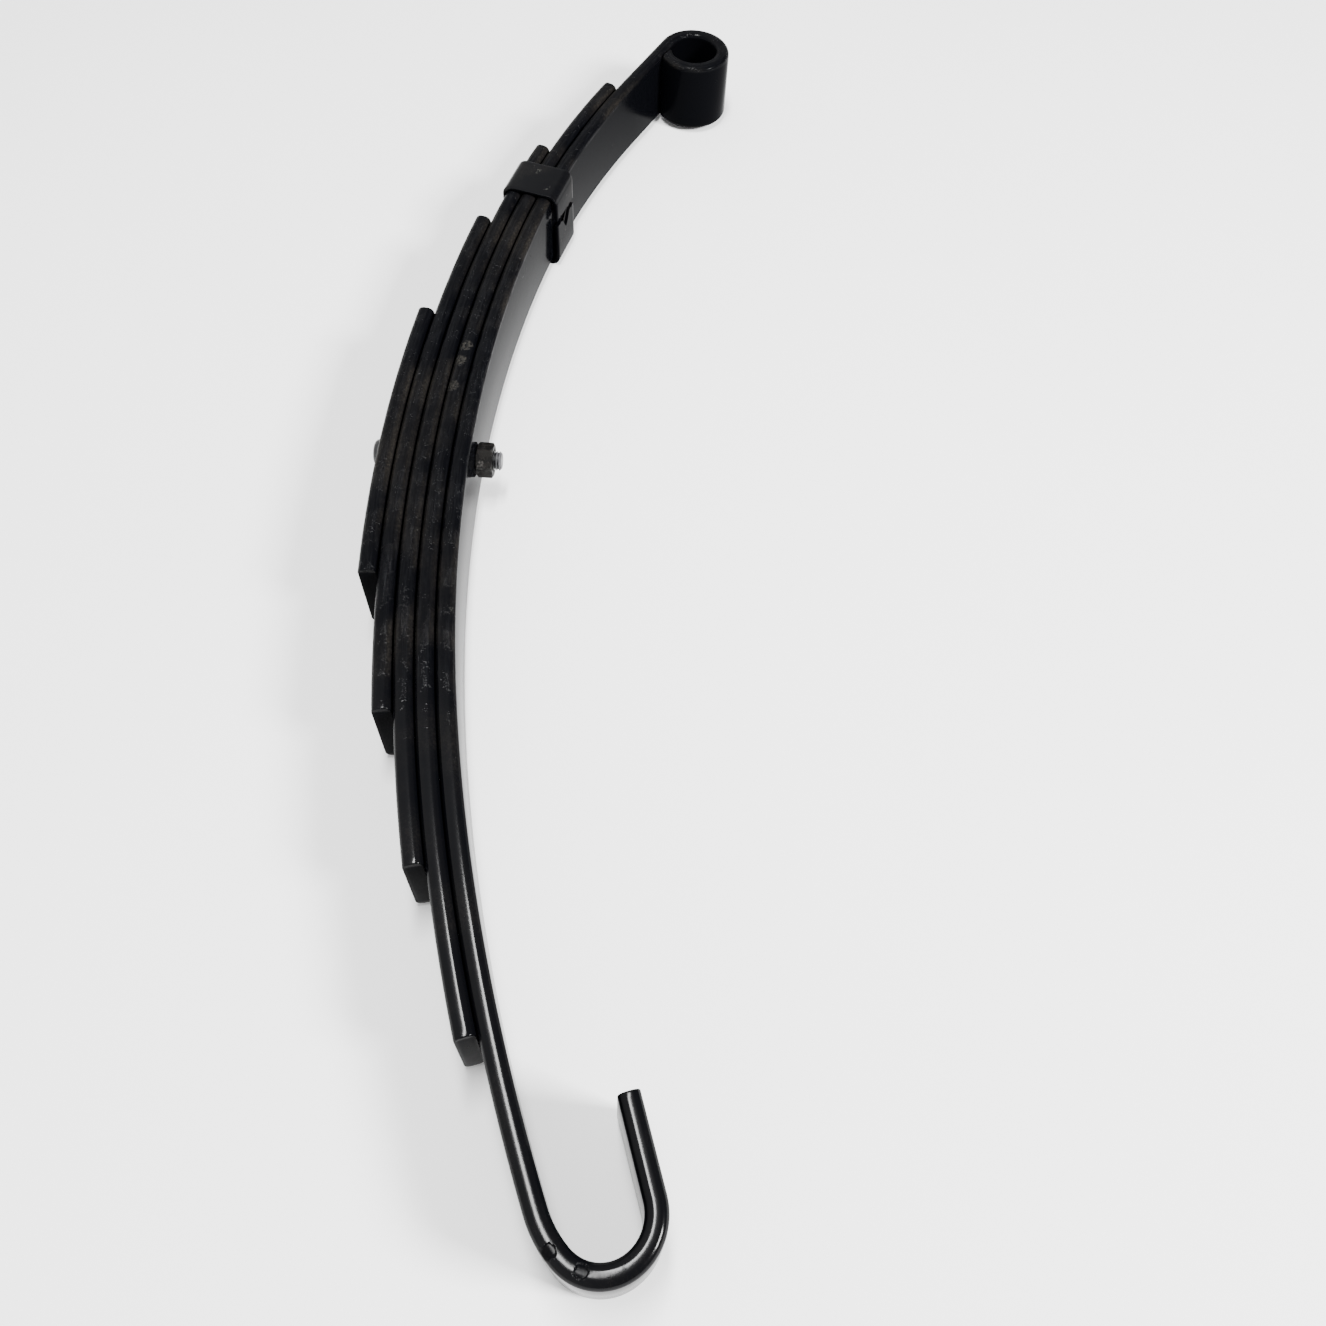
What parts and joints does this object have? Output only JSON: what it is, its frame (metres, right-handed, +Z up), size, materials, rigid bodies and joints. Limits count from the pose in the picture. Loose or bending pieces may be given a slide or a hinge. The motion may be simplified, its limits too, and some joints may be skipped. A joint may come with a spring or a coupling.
{
  "type": "leaf spring",
  "caption": "Black slipper leaf spring for a light trailer: stacked curved leaves, rolled eye at one end, hook at the other, centre bolt and rebound clip.",
  "frame": {"origin": "middle of the box that the spring fills, on its underside, with the spring lying on its side", "axes": "+X along the spring from the hook end to the eye end, +Y towards the convex side where the axle seat bears, +Z up across the width of the leaves"},
  "size_m": [0.7506, 0.1754, 0.0496],
  "materials": {
    "leaf_paint": "gloss black paint over spring steel",
    "clip_paint": "satin black paint on bent strap steel",
    "bolt_steel": "black paint worn thin on the thread end",
    "nut_steel": "dull brown-black phosphate"
  },
  "bodies": {
    "root": {"main_leaf": "leaf_paint", "second_leaf": "leaf_paint", "third_leaf": "leaf_paint", "fourth_leaf": "leaf_paint", "fifth_leaf": "leaf_paint", "rebound_clip": "clip_paint", "clip_rivet": "clip_paint", "centre_bolt": "bolt_steel", "centre_nut": "nut_steel"}
  },
  "joints": []
}
